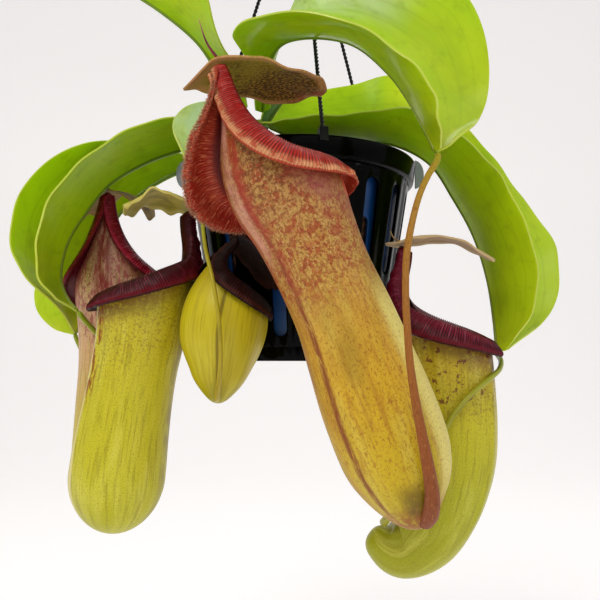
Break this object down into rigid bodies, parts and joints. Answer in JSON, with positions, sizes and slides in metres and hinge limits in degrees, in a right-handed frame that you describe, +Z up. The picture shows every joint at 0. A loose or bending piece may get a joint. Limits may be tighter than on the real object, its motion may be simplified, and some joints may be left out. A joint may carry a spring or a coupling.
{
  "type": "hanging pitcher plant",
  "caption": "Tropical pitcher plant in a slotted hanging pot on three wires: broad folded leaves, tendrils and hanging pitchers with ribbed lips and lids.",
  "frame": {"origin": "inside top of the hook's bow, where the object hangs, above the middle of the pot", "axes": "+Z up, +Y away from the front, +X to the right when looking at the front"},
  "size_m": [0.3557, 0.2338, 0.4921],
  "materials": {
    "black_plastic": "moulded, glossy",
    "blue_plastic": "moulded, satin",
    "clear_plastic": "moulded, hazy clear",
    "bark": "rough broken bark",
    "stem_green": "smooth, waxy",
    "black_wire": "twisted, plastic coated",
    "leaf_green": "waxy, glossy",
    "leaf_dark": "waxy",
    "tendril_brown": "velvety",
    "tendril_green": "smooth, waxy",
    "cup_main": "thin, finely haired",
    "lip_main": "ribbed, glossy",
    "lid_main": "haired, matt",
    "cup_left": "thin, finely haired",
    "lip_left": "ribbed, glossy",
    "lid_left": "haired, matt",
    "cup_back": "thin, finely haired",
    "lip_back": "ribbed, glossy",
    "lid_back": "haired, matt",
    "cup_small": "thin, finely haired",
    "lip_small": "ribbed, glossy",
    "lid_small": "haired, matt",
    "cup_right": "thin, finely haired",
    "lip_right": "ribbed, glossy",
    "lid_right": "haired, matt"
  },
  "bodies": {
    "root": {"outer_pot": "black_plastic", "liner_pot": "blue_plastic", "potting_mix": "bark", "rim_ear_left": "clear_plastic", "rim_ear_right": "clear_plastic", "plant_stem": "stem_green", "hanger_wire_front": "black_wire", "hanger_wire_right": "black_wire", "hanger_wire_left": "black_wire", "hanger_hook": "black_wire", "pitcher_main_cup": "cup_main", "pitcher_main_lip": "lip_main", "pitcher_main_lid": "lid_main", "pitcher_left_cup": "cup_left", "pitcher_left_lip": "lip_left", "pitcher_left_lid": "lid_left", "pitcher_back_cup": "cup_back", "pitcher_back_lip": "lip_back", "pitcher_back_lid": "lid_back", "pitcher_small_cup": "cup_small", "pitcher_small_lip": "lip_small", "pitcher_small_lid": "lid_small", "pitcher_right_cup": "cup_right", "pitcher_right_lip": "lip_right", "pitcher_right_lid": "lid_right", "leaf_upper_right": "leaf_green", "leaf_right": "leaf_green", "leaf_front_left": "leaf_green", "leaf_back_left": "leaf_green", "leaf_upper_left": "leaf_green", "leaf_front_small": "leaf_green", "leaf_inner": "leaf_dark", "tendril_main": "tendril_brown", "tendril_left": "tendril_green", "tendril_back": "tendril_green", "tendril_small": "tendril_green", "tendril_right": "tendril_green"}
  },
  "joints": []
}
